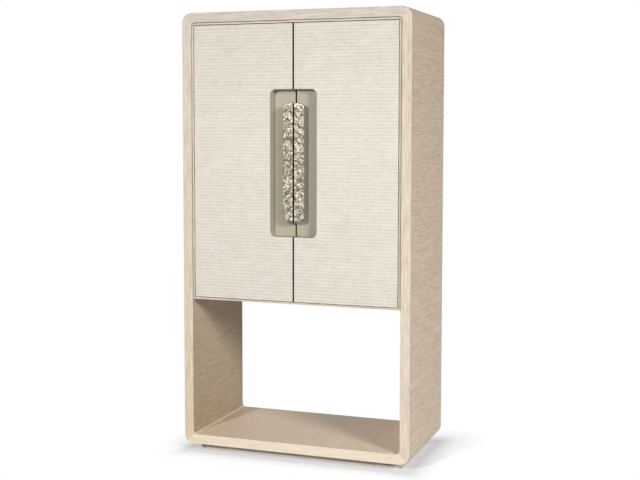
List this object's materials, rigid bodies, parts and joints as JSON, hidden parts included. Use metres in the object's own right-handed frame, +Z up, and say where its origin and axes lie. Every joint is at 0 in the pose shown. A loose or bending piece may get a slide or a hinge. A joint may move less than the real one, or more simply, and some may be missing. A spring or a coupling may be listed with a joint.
{
  "type": "bar cabinet",
  "caption": "Tall bar cabinet: a rounded wrap-around oak shell with two woven-front doors over an open bay, and a split hammered handle in a recessed metal pan.",
  "frame": {"origin": "centre of the footprint of the whole cabinet, on the floor", "axes": "+Z up, the doors face -Y, +X to the right as seen from the front"},
  "size_m": [1.067, 0.558, 1.992],
  "materials": {
    "cerused_oak": "limed oak veneer, matt",
    "plain_oak": "oak veneer, matt",
    "plinth_oak": "oak, matt",
    "woven_raffia": "off-white woven raffia",
    "door_lacquer": "lacquered board, satin",
    "taupe_metal": "taupe bronze, satin",
    "hammered_pewter": "hammered, pewter coloured",
    "satin_brass": "satin",
    "bright_steel": "satin",
    "black_nylon": "matt",
    "mirror": "silvered glass",
    "clear_glass": "toughened, polished edges"
  },
  "bodies": {
    "cabinet": {"shell_left_side": "cerused_oak", "shell_right_side": "cerused_oak", "shell_top": "cerused_oak", "shell_bottom": "cerused_oak", "top_bead": "cerused_oak", "bottom_bead": "cerused_oak", "left_bead": "cerused_oak", "right_bead": "cerused_oak", "plinth_front_rail": "plinth_oak", "plinth_back_rail": "plinth_oak", "plinth_left_rail": "plinth_oak", "plinth_right_rail": "plinth_oak", "carcass_left_side": "plain_oak", "carcass_right_side": "plain_oak", "carcass_top": "plain_oak", "cupboard_floor": "plain_oak", "carcass_back": "plain_oak", "bar_shelf": "plain_oak", "lower_partition": "plain_oak", "timber_shelf": "plain_oak", "wine_divider_rising": "plain_oak", "wine_divider_falling": "plain_oak", "stemware_rail_1": "plain_oak", "stemware_rail_2": "plain_oak", "stemware_rail_3": "plain_oak", "stemware_rail_4": "plain_oak", "mirror_panel": "mirror", "glass_shelf": "clear_glass", "floor_glide_front_left": "black_nylon", "glass_shelf_peg_front_left": "satin_brass", "timber_shelf_peg_front_left": "satin_brass", "floor_glide_front_right": "black_nylon", "glass_shelf_peg_front_right": "satin_brass", "timber_shelf_peg_front_right": "satin_brass", "floor_glide_back_left": "black_nylon", "glass_shelf_peg_back_left": "satin_brass", "timber_shelf_peg_back_left": "satin_brass", "floor_glide_back_right": "black_nylon", "glass_shelf_peg_back_right": "satin_brass", "timber_shelf_peg_back_right": "satin_brass", "left_catch": "black_nylon", "left_top_hinge_frame_leaf": "satin_brass", "left_bottom_hinge_frame_leaf": "satin_brass", "right_catch": "black_nylon", "right_top_hinge_frame_leaf": "satin_brass", "right_bottom_hinge_frame_leaf": "satin_brass"},
    "left_door": {"left_door_core": "door_lacquer", "left_raffia_skin": "woven_raffia", "left_recess_pan": "taupe_metal", "left_handle": "hammered_pewter", "left_strike_plate": "bright_steel", "left_top_hinge_door_leaf": "satin_brass", "left_bottom_hinge_door_leaf": "satin_brass"},
    "right_door": {"right_door_core": "door_lacquer", "right_raffia_skin": "woven_raffia", "right_recess_pan": "taupe_metal", "right_handle": "hammered_pewter", "right_strike_plate": "bright_steel", "right_top_hinge_door_leaf": "satin_brass", "right_bottom_hinge_door_leaf": "satin_brass"}
  },
  "joints": [
    {"name": "left_door_swing", "type": "hinge", "parent": "cabinet", "child": "left_door", "pos_m": [-0.466, -0.2705, 1.32575], "axis": [0, 0, -1], "range_deg": [0, 110]},
    {"name": "right_door_swing", "type": "hinge", "parent": "cabinet", "child": "right_door", "pos_m": [0.466, -0.2705, 1.32575], "axis": [0, 0, 1], "range_deg": [0, 110]}
  ]
}
